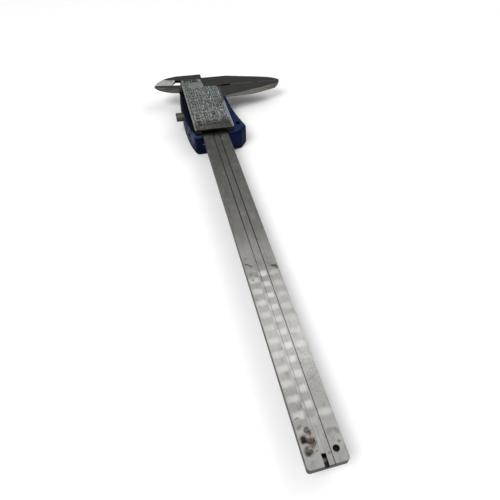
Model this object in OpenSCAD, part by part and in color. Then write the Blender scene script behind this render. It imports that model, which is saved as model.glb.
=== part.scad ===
// Digital caliper for 200 mm, closed, lying on its display side.
// The back faces up. +Y runs along the beam towards the jaws, +X towards the long jaws.
// The origin is on the resting face, below the beam's centre line, half way along the casing.

/* [Beam] */
// Width of the beam
beam_w = 16; // [14:0.5:20]
// Thickness of the beam
beam_t = 3.6; // [3.2:0.1:4.5]
// Radius of the beam's end corners
beam_corner = 1.3; // [0.5:0.1:4]
// Height of the beam's back above the resting face
back_z = 13; // [12.6:0.1:15]
// Distance that the slider travels, which sets the beam's length
travel = 200; // [150:1:220]

/* [Fixed head] */
// From the measuring plane to the step face at the very end
head_len = 13.6; // [11:0.1:18]
// How far the head and the short jaws stand above the beam's back
head_rise = 2.6; // [1.8:0.1:3.4]
// Right edge of the raised head, from the centre line
head_right = 3; // [1:0.1:6]
// Left edge of the head's thick part, where the short jaw's blade begins
head_left = 12.1; // [11:0.1:16]

/* [Jaws] */
// Tip of the long jaws, from the centre line
long_tip = 59; // [52:0.5:65]
// Tip of the short jaws, from the centre line
short_tip = 31; // [27:0.5:36]
// Thickness of the sliding short jaw
short_t = 3.8; // [2.6:0.1:4.6]
// Thickness of the short fixed jaw's blade
blade_t = 1.8; // [1.2:0.1:2.4]
// Offset of the short jaws' meeting line at their tips
short_rise = 2.2; // [0:0.1:3]
// Depth of the sliding long jaw, behind the measuring plane
slide_jaw_d = 10.3; // [8:0.1:12]
// Depth of the sliding short jaw at its root
slide_short_d = 4; // [3:0.1:6]
// Light gap between the closed measuring faces
light_gap = 0.02; // [0.01:0.01:0.05]
// Length of the relief that keeps the long jaws' roots apart
relief_len = 7.8; // [3:0.1:12]
// Width of that relief
relief_w = 1.4; // [0.6:0.1:1.8]

/* [Depth rod] */
// Width of the depth rod
rod_w = 3.6; // [2.5:0.1:4.5]
// Thickness of the depth rod
rod_t = 1.7; // [1.2:0.1:1.8]
// Gap on each side of the depth rod
rod_gap = 0.2; // [0.1:0.05:0.3]
// Offset of the groove from the beam's centre line
rod_x = 0.35; // [0:0.05:1]
// Length of the relief in the depth rod's tip
rod_notch = 4.5; // [3:0.1:9]

/* [Scale] */
// Width of the scale board in the beam's front
scale_w = 11; // [9:0.5:12]
// Thickness of the scale board
scale_t = 0.7; // [0.5:0.05:0.8]
// Thickness of the printed scale cover
scale_cover_t = 0.2; // [0.1:0.05:0.25]

/* [Stop screw] */
// Distance of the stop screw from the beam's end
stop_inset = 5.1; // [4:0.1:7]
// Distance of the stop screw from the centre line
stop_x = 4.33; // [3:0.01:5.4]
// Radius of the stop screw's thread
stop_r = 1.25; // [1:0.05:1.4]

/* [Slider] */
// Reach of the sliding long jaw's undercut root behind its straight edge
root_reach = 5.3; // [3:0.1:6]
// Outer width of the slider frame
frame_w = 24; // [23:0.2:26]
// Thickness of the gib strip
gib_t = 0.5; // [0.4:0.05:0.6]
// Running clearance of the slider on the beam
run_gap = 0.05; // [0.03:0.01:0.08]
// Thickness of the back plate
plate_t = 1; // [0.8:0.1:1.4]
// Thickness of the label on it
label_t = 0.2; // [0.1:0.05:0.3]
// Setback of the back plate's right part
plate_step = 4.9; // [3:0.1:6]

/* [Lock screw] */
// Radius of the lock screw's knob
knob_r = 2.7; // [2.2:0.1:3.2]
// Length of the knob
knob_len = 4; // [3:0.1:6]
// Radius of the lock screw's thread
lock_r = 1.5; // [1.2:0.05:1.6]
// Distance of the lock screw behind the measuring plane
lock_y = 34; // [26:0.5:42]

/* [Casing] */
// Wall of the casing behind the slider frame
case_end = 2.4; // [2:0.1:4]
// Gap between the measuring plane and the casing
case_gap = 1; // [0.6:0.1:2]
// Half width of the casing at its front left corner
case_left = 14.3; // [14:0.1:16]
// Half width of the casing on the right, beside the long jaw
case_right = 16.2; // [16:0.1:18]
// Reach of the thumb hook on the right
hook_x = 21.3; // [20:0.1:25]
// Wall of the casing
wall = 2; // [1.6:0.1:2.2]
// Lip of the casing round the front cover
lip = 1.2; // [0.9:0.1:1.4]
// Thickness of the front cover
cover_t = 1.5; // [1.3:0.1:1.8]

/* [Display and buttons] */
// Width of the display window, across the beam
lcd_w = 10.8; // [9:0.1:11]
// Length of the display window, along the beam
lcd_len = 28; // [22:0.5:29]
// Thickness of the display glass
lcd_t = 2.2; // [1.6:0.1:2.6]
// Radius of a button
button_r = 3; // [2.4:0.1:3.2]
// Distance between buttons
button_pitch = 9; // [8:0.1:11]
// Travel of a button
button_travel = 0.5; // [0.3:0.05:0.6]
// Thickness of the circuit board
board_t = 1; // [0.8:0.1:1.1]

/* [Battery] */
// Radius of the button cell
cell_r = 5.8; // [4.8:0.1:6]
// Height of the button cell
cell_h = 5.4; // [3.6:0.1:5.4]
// Gap between the last button and the cell's cover
cell_gap = 3.6; // [2:0.1:6]

/* [Hidden] */
$fn = 48;
fit = 0.1;
eps = 0.5;

// Heights
front_z = back_z - beam_t;
top_z = back_z + head_rise;
mid_z = back_z - beam_t / 2;
short_z = top_z - short_t;
plate_z = top_z - plate_t;
groove_z = back_z - rod_t - rod_gap;
frame_z = front_z - 0.2;
web_z = front_z - 1.5;
ledge_z = web_z - 0.05;
board_z = front_z - 0.3 - board_t;
plate_screw_tip = 5;

// Places along the beam, counted back from the measuring plane
board_front = 11.2;
button_y = 15.5;
button_flange = 0.7;
cell_cover_y = button_y + 2 * button_pitch + button_r + button_flange + cell_gap;
cell_y = cell_cover_y + 0.8 + cell_r;
board_back = cell_y + 6.4;
frame_len = board_back + 6.2;
case_back = frame_len + case_end;
jaw_y = (case_gap + case_back) / 2;
plate_front = 0.1;
plate_len = frame_len - plate_front - 1.2;
screw_front = 8;
screw_back = frame_len - 3.4;
gib_screws_y = [screw_front + 8, frame_len - 10];
rod_front = 5;
rod_seat = 7;
rod_screw_y = rod_front + 3.4;
lcd_y = -(board_back - 4.4 - lcd_len / 2);

// Slopes of the short jaws' ground faces, and under the long jaws' tips
facet_slope = 8.8;
knife_slope = 46;
tip_slope = 32;

// Where the sliding long jaw's root runs out into its straight edge
root_end = 35;

// Places across the beam
half_w = beam_w / 2;
frame_x = frame_w / 2;
gib_x = half_w + run_gap + gib_t;
screw_x = (frame_x + gib_x + run_gap) / 2;
plate_left = frame_x + 0.2;
plate_right = frame_x + 0.9;
cell_x = 7.4;
board_right = cell_x + cell_r + 0.7;
board_left = frame_x + 0.4;
lcd_x = -6.8;
button_x = 7;
cell_z = cover_t + 0.2;
cell_cover_w = 11;
tongue = 0.6;

// Handles of the casing's curved sides, the slot in its left side and the screw hole in its hook
left_front = 18;
left_back = case_back - 18.4;
right_front = 17;
right_back = case_back - 30.4;
side_slot_y = case_back - 12.1;
hook_hole = [hook_x - 4.4, -(case_back - 10.9)];

// The beam ends a little past the stop screw, which the casing nearly reaches
stop_head = stop_r + 0.9;
beam_len = case_back + travel + 3.95 + stop_head + stop_inset;

// Inner face of the knob, and the tip of the lock screw, from the centre line
knob_x = case_left + 2.7;
lock_tip = gib_x + 0.65;

// Moves what is drawn from the measuring plane to the model's frame
module from_jaws() {
    translate([0, jaw_y, 0])
        children();
}

// A block from one corner to the opposite one
module block(a, b) {
    translate(a)
        cube(b - a);
}

// A round bar along X, from x0 to x1
module bar_x(x0, x1, y, z, r) {
    translate([x0, y, z])
        rotate([0, 90, 0])
            cylinder(h = x1 - x0, r = r);
}

// Points along a curve with two handles
function curve(a, b, c, d, n) = [
    for (i = [0 : n])
        let (t = i / n, s = 1 - t)
            s * s * s * a + 3 * s * s * t * b + 3 * s * t * t * c + t * t * t * d
];

// Points along an arc
function arc(c, r, a0, a1, n) = [
    for (i = [0 : n])
        let (a = a0 + (a1 - a0) * i / n)
            c + r * [cos(a), sin(a)]
];

// Outline of the casing seen from its back, drawn in by a distance
function case_outline(in) = concat(
    curve([in - case_left, -case_gap - in], [in - case_left - 1.9, -left_front],
        [in - case_left - 4.1, -left_back], [in - case_left + 1, in + 2.2 - case_back], 14),
    arc([in - case_left + 3.4, in + 2.6 - case_back], 2.4, 190, 262, 5),
    [[12, in + 0.8 - case_back]],
    arc([hook_x - 5.2 - in, in + 3.6 - case_back], 1.6, 280, 320, 3),
    arc([hook_x - 1.4 - in, in + 8.6 - case_back], 1.4, 320, 380, 5),
    curve([hook_x - 0.3 - in, in + 9.9 - case_back], [hook_x - 2.2 - in, in + 16.4 - case_back],
        [case_right + 0.2 - in, -right_back], [case_right - in, -right_front], 10),
    arc([case_right - 1.5 - in, -case_gap - 1.5 - in], 1.5, 0, 90, 4)
);

module case_solid(z0, z1, in) {
    translate([0, 0, z0])
        linear_extrude(z1 - z0)
            polygon(case_outline(in));
}

// The four places of the long screws
module at_plate_screws() {
    for (x = [-screw_x, screw_x], y = [screw_front, screw_back])
        translate([x, -y, 0])
            children();
}

// The four places of the circuit board's screws
module at_board_screws() {
    for (x = [-1, 1], y = [board_front + 2.2, board_back - 1.6])
        translate([x * (frame_x - 1), -y, 0])
            children();
}

// A screw with a flat countersunk head, its top at z = 0
module flush_screw(r, head_r, len) {
    translate([0, 0, r - head_r])
        cylinder(h = head_r - r, r1 = r, r2 = head_r);
    translate([0, 0, -len])
        cylinder(h = len - head_r + r, r = r);
}

// Outline of the fixed long jaw and the plate of the head
function long_fixed() = concat(
    [[-head_left, light_gap], [half_w + eps, light_gap], [half_w + eps, relief_w / 2]],
    arc([half_w + 5 + relief_len, 0], relief_w / 2, 90, 12, 4),
    [[long_tip - 0.5, light_gap], [long_tip, 0.9]],
    curve([long_tip - 1.2, 2.2], [long_tip - 6, head_len - 6.4],
        [long_tip - 18, head_len - 5.2], [half_w + 14, head_len], 10),
    [[-head_left, head_len]]
);

// Outline of the sliding long jaw
function long_sliding() = concat(
    [[gib_x, -slide_jaw_d - 5], [gib_x, -light_gap], [half_w + eps, -light_gap],
        [half_w + eps, -relief_w / 2]],
    arc([half_w + 5 + relief_len, 0], relief_w / 2, 270, 348, 4),
    [[long_tip - 0.6, -light_gap], [long_tip - 0.6, -1.4], [long_tip - 2, -2.9]],
    curve([long_tip - 4.3, -slide_jaw_d * 0.42], [long_tip - 15, -slide_jaw_d * 0.8],
        [long_tip - 22, -slide_jaw_d], [long_tip - 28, -slide_jaw_d], 8),
    [[frame_x, -slide_jaw_d]]
);

// Root of the sliding long jaw: wider at the back, undercut towards the front
module jaw_root(gap) {
    hull()
        for (layer = [[front_z - gap, 0], [back_z - 0.3, 1]])
            translate([0, 0, layer[0]])
                linear_extrude(0.3 + gap)
                    polygon([
                        [gib_x, eps - slide_jaw_d],
                        [gib_x, -slide_jaw_d - gap - root_reach * layer[1]],
                        [case_right - 0.6, -slide_jaw_d - gap - root_reach * layer[1]],
                        [root_end, -slide_jaw_d - gap],
                        [root_end + 1, eps - slide_jaw_d]
                    ]);
}

// Thins the long jaws' tips from below
module tip_cut() {
    translate([long_tip - 4, 0, front_z])
        rotate([0, -tip_slope, 0])
            block([0, -head_len, -beam_t], [beam_t + 4, head_len, 0]);
}

// Outline of the fixed short jaw's blade
function short_fixed() = concat(
    [[-head_left + eps, head_len]],
    curve([-head_left - 1.9, head_len], [-head_left - 8.9, head_len - 1.4],
        [2.4 - short_tip, head_len - 4], [-short_tip, short_rise + 0.6], 9),
    [[0.2 - short_tip, short_rise + light_gap], [-head_left, light_gap],
        [-head_left + eps, light_gap]]
);

// Relief notch at the root of that blade, open towards the sliding jaw
function short_notch() = concat(
    [[-head_left + 2 * eps, -1], [-head_left - 7, -1]],
    curve([-head_left - 7, 0.9], [-head_left - 6.6, 3.6], [-head_left - 5.2, 6],
        [-head_left - 3.4, 7.4], 6),
    [[-head_left + 2 * eps, 6.8]]
);

// Outline of the sliding short jaw, rooted at x = root
function short_sliding(root) = concat(
    [[root, -slide_short_d], [root, -light_gap], [-head_left, -light_gap],
        [0.4 - short_tip, short_rise - light_gap]],
    curve([0.6 - short_tip, short_rise - 0.9], [2 - short_tip, -0.9],
        [-head_left - 8, 1.8 - slide_short_d], [-head_left - 2, -slide_short_d], 7)
);

// Ground face of the fixed blade, sloping down to the meeting line
module blade_facet() {
    translate([-head_left - 3.9, head_len - 2.8, top_z])
        rotate([facet_slope, 0, 0])
            block([-short_tip, -head_len, 0], [0, 3, short_t]);
}

// Ground face under the sliding short jaw, rising to the meeting line
module under_bevel() {
    translate([-head_left, 0, top_z - 0.3])
        rotate([0, 0, -atan(short_rise / (short_tip - head_left))])
            rotate([knife_slope, 0, 0])
                block([-short_tip, -head_len, -head_len], [-2, 1, 0]);
}

module main_beam() {
    color([0.62, 0.62, 0.63])
        from_jaws()
            difference() {
                union() {
                    translate([0, 0, front_z])
                        linear_extrude(beam_t)
                            beam_outline();
                    difference() {
                        translate([0, 0, front_z])
                            linear_extrude(beam_t)
                                polygon(long_fixed());
                        tip_cut();
                    }
                    block([-head_left, light_gap, back_z - eps], [head_right, head_len, top_z]);
                    difference() {
                        translate([0, 0, top_z - blade_t])
                            linear_extrude(blade_t)
                                difference() {
                                    polygon(short_fixed());
                                    polygon(short_notch());
                                }
                        blade_facet();
                    }
                }
                // groove of the depth rod
                block([rod_x - rod_w / 2 - rod_gap, -beam_len - eps, groove_z],
                    [rod_x + rod_w / 2 + rod_gap, -3, back_z + eps]);
                // recess of the scale
                block([-scale_w / 2 - fit, -beam_len + 2 * stop_inset, front_z - eps],
                    [scale_w / 2 + fit, -3, front_z + scale_t + scale_cover_t]);
                // hole of the stop screw
                translate([stop_x, stop_inset - beam_len, front_z - eps])
                    cylinder(h = beam_t + 2 * eps, r = stop_r + run_gap);
            }
}

module beam_outline() {
    polygon(concat(
        [[half_w, eps], [-half_w, eps]],
        arc([beam_corner - half_w, beam_corner - beam_len], beam_corner, 180, 270, 6),
        arc([half_w - beam_corner, beam_corner - beam_len], beam_corner, 270, 360, 6)
    ));
}

module scale_board() {
    color([0.12, 0.32, 0.16])
        from_jaws()
            block([-scale_w / 2, 2 * stop_inset + fit - beam_len, front_z + scale_cover_t],
                [scale_w / 2, -3 - fit, front_z + scale_cover_t + scale_t]);
}

module scale_cover() {
    color([0.82, 0.83, 0.82])
        from_jaws()
            block([-scale_w / 2, 2 * stop_inset + fit - beam_len, front_z],
                [scale_w / 2, -3 - fit, front_z + scale_cover_t]);
}

module stop_screw() {
    color([0.25, 0.25, 0.26])
        from_jaws()
            translate([stop_x, stop_inset - beam_len, front_z])
                difference() {
                    union() {
                        translate([0, 0, -0.9])
                            cylinder(h = 0.9, r = stop_head);
                        cylinder(h = beam_t - 1, r = stop_r);
                    }
                    block([-3, -0.25, -2], [3, 0.25, -0.45]);
                }
}

module head_label() {
    color([0.55, 0.56, 0.56])
        from_jaws()
            block([-frame_x, 0.15, top_z], [head_right - 1, head_len * 0.47, top_z + label_t]);
}

module slider_frame() {
    color([0.55, 0.55, 0.56])
        from_jaws()
            difference() {
                union() {
                    // side walls beside the beam
                    block([-frame_x, -frame_len, frame_z], [-gib_x, -light_gap, plate_z]);
                    block([half_w + run_gap, -frame_len, frame_z], [frame_x, -light_gap, plate_z]);
                    // webs below the beam
                    block([-frame_x, -board_front + fit, web_z], [frame_x, -light_gap, front_z - fit]);
                    block([-frame_x, -frame_len, web_z], [frame_x, -board_back - fit, front_z - fit]);
                    difference() {
                        translate([0, 0, front_z])
                            linear_extrude(beam_t)
                                polygon(long_sliding());
                        tip_cut();
                    }
                    jaw_root(0);
                    difference() {
                        union() {
                            translate([0, 0, short_z])
                                linear_extrude(plate_z - short_z)
                                    polygon(short_sliding(-gib_x));
                            translate([0, 0, plate_z - eps])
                                linear_extrude(plate_t + eps)
                                    polygon(short_sliding(-plate_left - fit));
                        }
                        under_bevel();
                    }
                }
                // holes of the long screws
                at_plate_screws()
                    translate([0, 0, web_z - eps])
                        cylinder(h = plate_z, r = 1 + run_gap);
                // holes of the circuit board's screws
                at_board_screws()
                    translate([0, 0, web_z])
                        cylinder(h = mid_z - web_z, r = 0.8 + run_gap);
                // threads of the lock screw and of the gib screws
                bar_x(-frame_x - eps, -gib_x + fit, -lock_y, mid_z, lock_r + run_gap);
                for (y = gib_screws_y)
                    bar_x(-frame_x - eps, -gib_x + fit, -y, mid_z, 1 + run_gap);
            }
}

// Outline of the back plate, drawn in by a distance, but less at its front edge
module plate_outline(in) {
    polygon([
        [in - plate_left, in - plate_len - plate_front],
        [plate_right - in, in - plate_len - plate_front],
        [plate_right - in, -plate_step - plate_front - 3 - in],
        [plate_right - 2.6 - in, -plate_step - plate_front - in],
        [head_right - 0.6 - in, -plate_step - plate_front - in],
        [head_right - 0.6 - in, -plate_front - in / 5],
        [in - plate_left, -plate_front - in / 5]
    ]);
}

module back_plate() {
    color([0.6, 0.6, 0.6])
        from_jaws()
            difference() {
                translate([0, 0, plate_z])
                    linear_extrude(plate_t)
                        plate_outline(0);
                at_plate_screws()
                    translate([0, 0, top_z + 0.001])
                        flush_screw(1 + run_gap, 1.8 + run_gap, plate_t + eps);
                translate([rod_x, -rod_screw_y, top_z + 0.001])
                    flush_screw(0.8 + run_gap, 1.5 + run_gap, plate_t + eps);
            }
}

module back_label() {
    color([0.5, 0.52, 0.52])
        from_jaws()
            translate([0, 0, top_z])
                linear_extrude(label_t)
                    plate_outline(0.5);
}

module plate_screws() {
    color([0.7, 0.7, 0.7])
        from_jaws()
            at_plate_screws()
                translate([0, 0, top_z - 0.03])
                    flush_screw(1, 1.8, top_z - plate_screw_tip);
}

module back_guides() {
    color([0.75, 0.6, 0.3])
        from_jaws()
            for (x = [-half_w + 1, half_w - 4])
                block([x, 4 - frame_len, back_z + run_gap], [x + 3, -6, plate_z]);
}

module gib_strip() {
    color([0.75, 0.6, 0.3])
        from_jaws()
            block([run_gap - gib_x, 2 - frame_len, front_z + fit],
                [run_gap - gib_x + gib_t, -3, back_z - fit]);
}

module gib_screws() {
    color([0.3, 0.3, 0.32])
        from_jaws()
            for (y = gib_screws_y)
                difference() {
                    bar_x(-frame_x + 0.2, -gib_x, -y, mid_z, 1);
                    block([-frame_x, -y - 0.2, mid_z - 1.2], [-frame_x + 0.7, -y + 0.2, mid_z + 1.2]);
                }
}

module depth_rod() {
    color([0.66, 0.66, 0.67])
        from_jaws()
            difference() {
                union() {
                    block([rod_x - rod_w / 2, -beam_len, back_z - rod_t - fit],
                        [rod_x + rod_w / 2, -rod_front, back_z - fit]);
                    // the seat that is held by the back plate
                    block([rod_x - rod_w / 2, -rod_front - rod_seat, back_z - rod_t - fit],
                        [rod_x + rod_w / 2, -rod_front, plate_z]);
                }
                block([rod_x - rod_w / 2 - eps, -beam_len - eps, groove_z],
                    [rod_x - rod_w / 2 + 1.5, rod_notch - beam_len, back_z + eps]);
                translate([rod_x, -rod_screw_y, back_z - rod_t + 0.6])
                    cylinder(h = top_z, r = 0.8 + run_gap);
            }
}

module rod_screw() {
    color([0.7, 0.7, 0.7])
        from_jaws()
            translate([rod_x, -rod_screw_y, top_z - 0.03])
                flush_screw(0.8, 1.5, top_z - 0.03 - back_z + rod_t - 0.8);
}

module casing_shell() {
    color([0.08, 0.12, 0.33])
        from_jaws()
            difference() {
                case_solid(0, back_z, 0);
                // seat of the front cover
                case_solid(-1, cover_t, lip);
                // hollow, with ledges that carry the slider frame at both ends
                difference() {
                    case_solid(cover_t - eps, frame_z, wall);
                    block([-frame_x - 1, -board_front + 0.4, 4], [frame_x + 1, -case_gap, ledge_z]);
                    block([-frame_x - 1, -case_back, 4], [frame_x + 1, -board_back - 0.4, ledge_z]);
                    translate([hook_hole[0], hook_hole[1], 5.5])
                        cylinder(h = back_z, r = 2.4);
                }
                // room for the slider frame and the beam
                block([-frame_x - fit, -frame_len - fit, ledge_z], [frame_x + fit, 0, back_z + 1]);
                block([-half_w - 0.6, -case_back - 1, front_z - 0.4],
                    [half_w + 0.6, -case_gap - 1, back_z + 1]);
                // room for the jaws' roots
                block([frame_x, -slide_jaw_d - 0.15, front_z - fit], [hook_x, 0, back_z + 1]);
                jaw_root(0.15);
                block([-case_left - 3, -slide_short_d - 0.15, short_z - fit], [-frame_x, 0, back_z + 1]);
                // holes of the long screws
                at_plate_screws()
                    translate([0, 0, 5 - fit])
                        cylinder(h = back_z, r = 1 + run_gap);
                // hole of the lock screw
                bar_x(-hook_x, -frame_x, -lock_y, mid_z, lock_r + 0.15);
                // recessed screw hole in the thumb hook
                translate([hook_hole[0], hook_hole[1], 8.6])
                    cylinder(h = back_z, r = 2);
                translate([hook_hole[0], hook_hole[1], 0])
                    cylinder(h = back_z, r = 1 + run_gap);
                // shallow slot in the left side
                difference() {
                    block([-case_left - 5, -side_slot_y - 3.4, 7.6], [0, -side_slot_y, 9.6]);
                    case_solid(0, back_z, 0.8);
                }
                // slot that the cell cover slides out through
                block([cell_x - cell_cover_w / 2 - tongue - 0.3, -case_back - 1, -1],
                    [cell_x + cell_cover_w / 2 + tongue + 0.3, lip + 2 - case_back, cover_t]);
            }
}

module front_cover() {
    color([0.16, 0.17, 0.19])
        from_jaws()
            difference() {
                union() {
                    case_solid(0, cover_t, lip + fit);
                    translate([hook_hole[0], hook_hole[1], 0])
                        cylinder(h = 5.4, r = 1.9);
                }
                // display window with a seat for its lens
                translate([lcd_x, lcd_y, 0]) {
                    block([-lcd_w / 2, -lcd_len / 2, -1], [lcd_w / 2, lcd_len / 2, cover_t - 0.5]);
                    block([0.7 - lcd_w / 2, 0.7 - lcd_len / 2, 0], [lcd_w / 2 - 0.7, lcd_len / 2 - 0.7, 5]);
                }
                // button holes
                for (i = [0 : 2])
                    translate([button_x, -button_y - i * button_pitch, -1])
                        cylinder(h = cover_t + 2, r = button_r + fit);
                // opening and grooves for the cell cover
                block([cell_x - cell_cover_w / 2 - fit, -case_back - 1, -1],
                    [cell_x + cell_cover_w / 2 + fit, fit - cell_cover_y, cover_t + 1]);
                block([cell_x - cell_cover_w / 2 - tongue - fit, -case_back - 1, 0.4],
                    [cell_x + cell_cover_w / 2 + tongue + fit, fit - cell_cover_y, 1.1]);
                // pilot hole in the boss
                translate([hook_hole[0], hook_hole[1], 1.8])
                    cylinder(h = 5, r = 1 + run_gap);
            }
}

module hook_screw() {
    color([0.3, 0.3, 0.32])
        from_jaws()
            translate([hook_hole[0], hook_hole[1], 8.6])
                difference() {
                    union() {
                        cylinder(h = 1, r = 1.8);
                        translate([0, 0, -6.6])
                            cylinder(h = 6.6, r = 1);
                    }
                    block([-1.2, -0.2, 0.5], [1.2, 0.2, 2]);
                    block([-0.2, -1.2, 0.5], [0.2, 1.2, 2]);
                }
}

module lcd_window() {
    color([0.75, 0.8, 0.8, 0.5])
        from_jaws()
            translate([lcd_x, lcd_y, 0])
                block([fit - lcd_w / 2, fit - lcd_len / 2, 0.2],
                    [lcd_w / 2 - fit, lcd_len / 2 - fit, cover_t - 0.5]);
}

module lcd_glass() {
    color([0.55, 0.6, 0.52])
        from_jaws()
            translate([lcd_x, lcd_y, cover_t])
                block([-lcd_w / 2 - 0.4, -lcd_len / 2 - 0.4, 0],
                    [lcd_w / 2 + 0.4, lcd_len / 2 + 0.4, lcd_t]);
}

module contact_rubbers() {
    color([0.85, 0.5, 0.45])
        from_jaws()
            translate([lcd_x, lcd_y, cover_t + lcd_t])
                for (x = [-lcd_w / 2, lcd_w / 2 - 1.4])
                    block([x, -lcd_len / 2, 0], [x + 1.4, lcd_len / 2, board_z - cover_t - lcd_t]);
}

module circuit_board() {
    color([0.1, 0.35, 0.2])
        from_jaws()
            difference() {
                block([-board_left, -board_back, board_z], [board_right, -board_front, board_z + board_t]);
                at_board_screws()
                    translate([0, 0, board_z - eps])
                        cylinder(h = board_t + 2 * eps, r = 0.8 + run_gap);
            }
}

module board_screws() {
    color([0.7, 0.7, 0.7])
        from_jaws()
            at_board_screws()
                translate([0, 0, board_z]) {
                    translate([0, 0, -0.7])
                        cylinder(h = 0.7, r = 1.4);
                    cylinder(h = mid_z - board_z - 0.4, r = 0.8);
                }
}

module processor() {
    color([0.06, 0.06, 0.07])
        from_jaws()
            translate([-5.5, -board_front - 4, board_z - 0.9])
                cylinder(h = 0.9, r1 = 1.8, r2 = 2.6);
}

module switches() {
    color([0.7, 0.7, 0.72])
        from_jaws()
            for (i = [0 : 2])
                translate([button_x, -button_y - i * button_pitch, board_z]) {
                    block([-2.25, -2.25, -1], [2.25, 2.25, 0]);
                    translate([0, 0, -1.3])
                        cylinder(h = 0.4, r = 1);
                }
}

// One button, counted from the jaws
module button(i) {
    from_jaws()
        translate([button_x, -button_y - i * button_pitch, 0]) {
            translate([0, 0, 0.3])
                cylinder(h = cover_t - 0.2, r = button_r);
            translate([0, 0, cover_t + run_gap])
                cylinder(h = 0.6, r = button_r + button_flange);
            translate([0, 0, cover_t])
                cylinder(h = board_z - 1.3 - button_travel - 0.05 - cover_t, r = 1.2);
        }
}

module button_power() {
    color([0.75, 0.2, 0.16])
        button(2);
}

module button_zero() {
    color([0.85, 0.65, 0.15])
        button(1);
}

module button_unit() {
    color([0.6, 0.62, 0.64])
        button(0);
}

module cell() {
    color([0.75, 0.75, 0.76])
        from_jaws()
            translate([cell_x, -cell_y, cell_z]) {
                translate([0, 0, 0.3])
                    cylinder(h = cell_h - 0.3, r = cell_r);
                cylinder(h = 0.3, r = cell_r - 1);
            }
}

module cell_contacts() {
    color([0.8, 0.78, 0.7])
        from_jaws() {
            // plate over the cell, with a leg to the board
            block([cell_x - 3, -cell_y - 3, cell_z + cell_h],
                [cell_x + 3, -cell_y + 3, cell_z + cell_h + 0.3]);
            block([cell_x - 3, -cell_y - 3, cell_z + cell_h], [cell_x - 2.7, -cell_y + 3, board_z]);
            // clip beside the cell
            block([cell_x + cell_r + 0.05, -cell_y - 2, cell_z + 0.8],
                [cell_x + cell_r + 0.35, -cell_y + 2, board_z]);
        }
}

module cell_cover() {
    color([0.16, 0.17, 0.19])
        from_jaws()
            difference() {
                union() {
                    block([cell_x - cell_cover_w / 2, 1.4 - case_back, 0],
                        [cell_x + cell_cover_w / 2, -cell_cover_y, cover_t - fit]);
                    block([cell_x - cell_cover_w / 2 - tongue, 1.4 - case_back, 0.5],
                        [cell_x + cell_cover_w / 2 + tongue, -cell_cover_y, 1]);
                }
                // grip grooves
                for (i = [0 : 4])
                    block([cell_x - 3, 3 + 1.2 * i - case_back, -1],
                        [cell_x + 3, 3.5 + 1.2 * i - case_back, 0.3]);
            }
}

module lock_screw() {
    color([0.5, 0.5, 0.5])
        from_jaws()
            difference() {
                union() {
                    bar_x(-knob_x - knob_len, -knob_x, -lock_y, mid_z, knob_r);
                    bar_x(-knob_x - fit, -lock_tip, -lock_y, mid_z, lock_r);
                }
                // grooves of the knurl
                for (a = [0 : 20 : 340])
                    translate([0, -lock_y, mid_z])
                        rotate([a, 0, 0])
                            block([0.4 - knob_x - knob_len, -0.15, knob_r - 0.15],
                                [-knob_x - 0.4, 0.15, knob_r + 1]);
            }
}

module lock_pad() {
    color([0.75, 0.6, 0.3])
        from_jaws()
            bar_x(-lock_tip, 0.3 - lock_tip, -lock_y, mid_z, lock_r - 0.2);
}

main_beam();
scale_board();
scale_cover();
stop_screw();
head_label();
slider_frame();
back_plate();
back_label();
plate_screws();
back_guides();
gib_strip();
gib_screws();
depth_rod();
rod_screw();
casing_shell();
front_cover();
hook_screw();
lcd_window();
lcd_glass();
contact_rubbers();
circuit_board();
board_screws();
processor();
switches();
button_power();
button_zero();
button_unit();
cell();
cell_contacts();
cell_cover();
lock_screw();
lock_pad();
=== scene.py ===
"""Looks of the digital caliper: dressed pieces, materials, floor, light and camera.

The part's own frame is in metres, and MM turns millimetres into them. Places inside the materials
and on the printed faces are in millimetres. The CAD solids are the frame; each dressed piece is a
finer copy of a solid or is printed on one.
"""
import math

import bmesh
import bpy
from mathutils import Matrix, Vector


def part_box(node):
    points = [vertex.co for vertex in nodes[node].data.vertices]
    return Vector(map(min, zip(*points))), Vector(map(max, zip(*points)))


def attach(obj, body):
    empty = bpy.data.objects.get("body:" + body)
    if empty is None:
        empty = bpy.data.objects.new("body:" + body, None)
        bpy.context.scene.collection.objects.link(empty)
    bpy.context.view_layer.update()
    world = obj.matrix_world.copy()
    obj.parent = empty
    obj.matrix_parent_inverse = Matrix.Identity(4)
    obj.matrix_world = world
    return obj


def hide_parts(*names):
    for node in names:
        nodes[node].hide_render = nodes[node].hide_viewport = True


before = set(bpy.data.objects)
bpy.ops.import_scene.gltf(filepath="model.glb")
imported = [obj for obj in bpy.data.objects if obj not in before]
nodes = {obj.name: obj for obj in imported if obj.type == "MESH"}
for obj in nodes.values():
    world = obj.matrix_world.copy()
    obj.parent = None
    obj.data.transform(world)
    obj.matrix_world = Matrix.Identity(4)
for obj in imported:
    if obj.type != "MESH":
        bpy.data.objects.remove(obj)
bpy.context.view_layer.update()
scene = bpy.context.scene
MM = 0.001


# Places in millimetres

def box_mm(node):
    """The low and the high corner of a solid's box, in millimetres."""
    return [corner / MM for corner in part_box(node)]


JAW_LINE = 31.7  # where the jaws meet when they are closed
BEAM_END = box_mm("main_beam")[0].y
ROD_LOW, ROD_HIGH = box_mm("depth_rod")
ROD_MIDDLE = (ROD_LOW.x + ROD_HIGH.x) / 2
ROD_HALF = (ROD_HIGH.x - ROD_LOW.x) / 2
KNOB_LOW, KNOB_HIGH = box_mm("lock_screw")
KNOB_MIDDLE = (KNOB_LOW + KNOB_HIGH) / 2
ANY_HEIGHT = 1000.0  # a spot's size upwards, so large that the height doesn't count
# The jaws' steel starts where the slider hides the beam when it is closed
HEAD_START = 30.0
# Behind the plate's rear edge the slider's frame is painted dark as shade
REAR_START = box_mm("back_plate")[0].y + 0.4


# Colours

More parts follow.
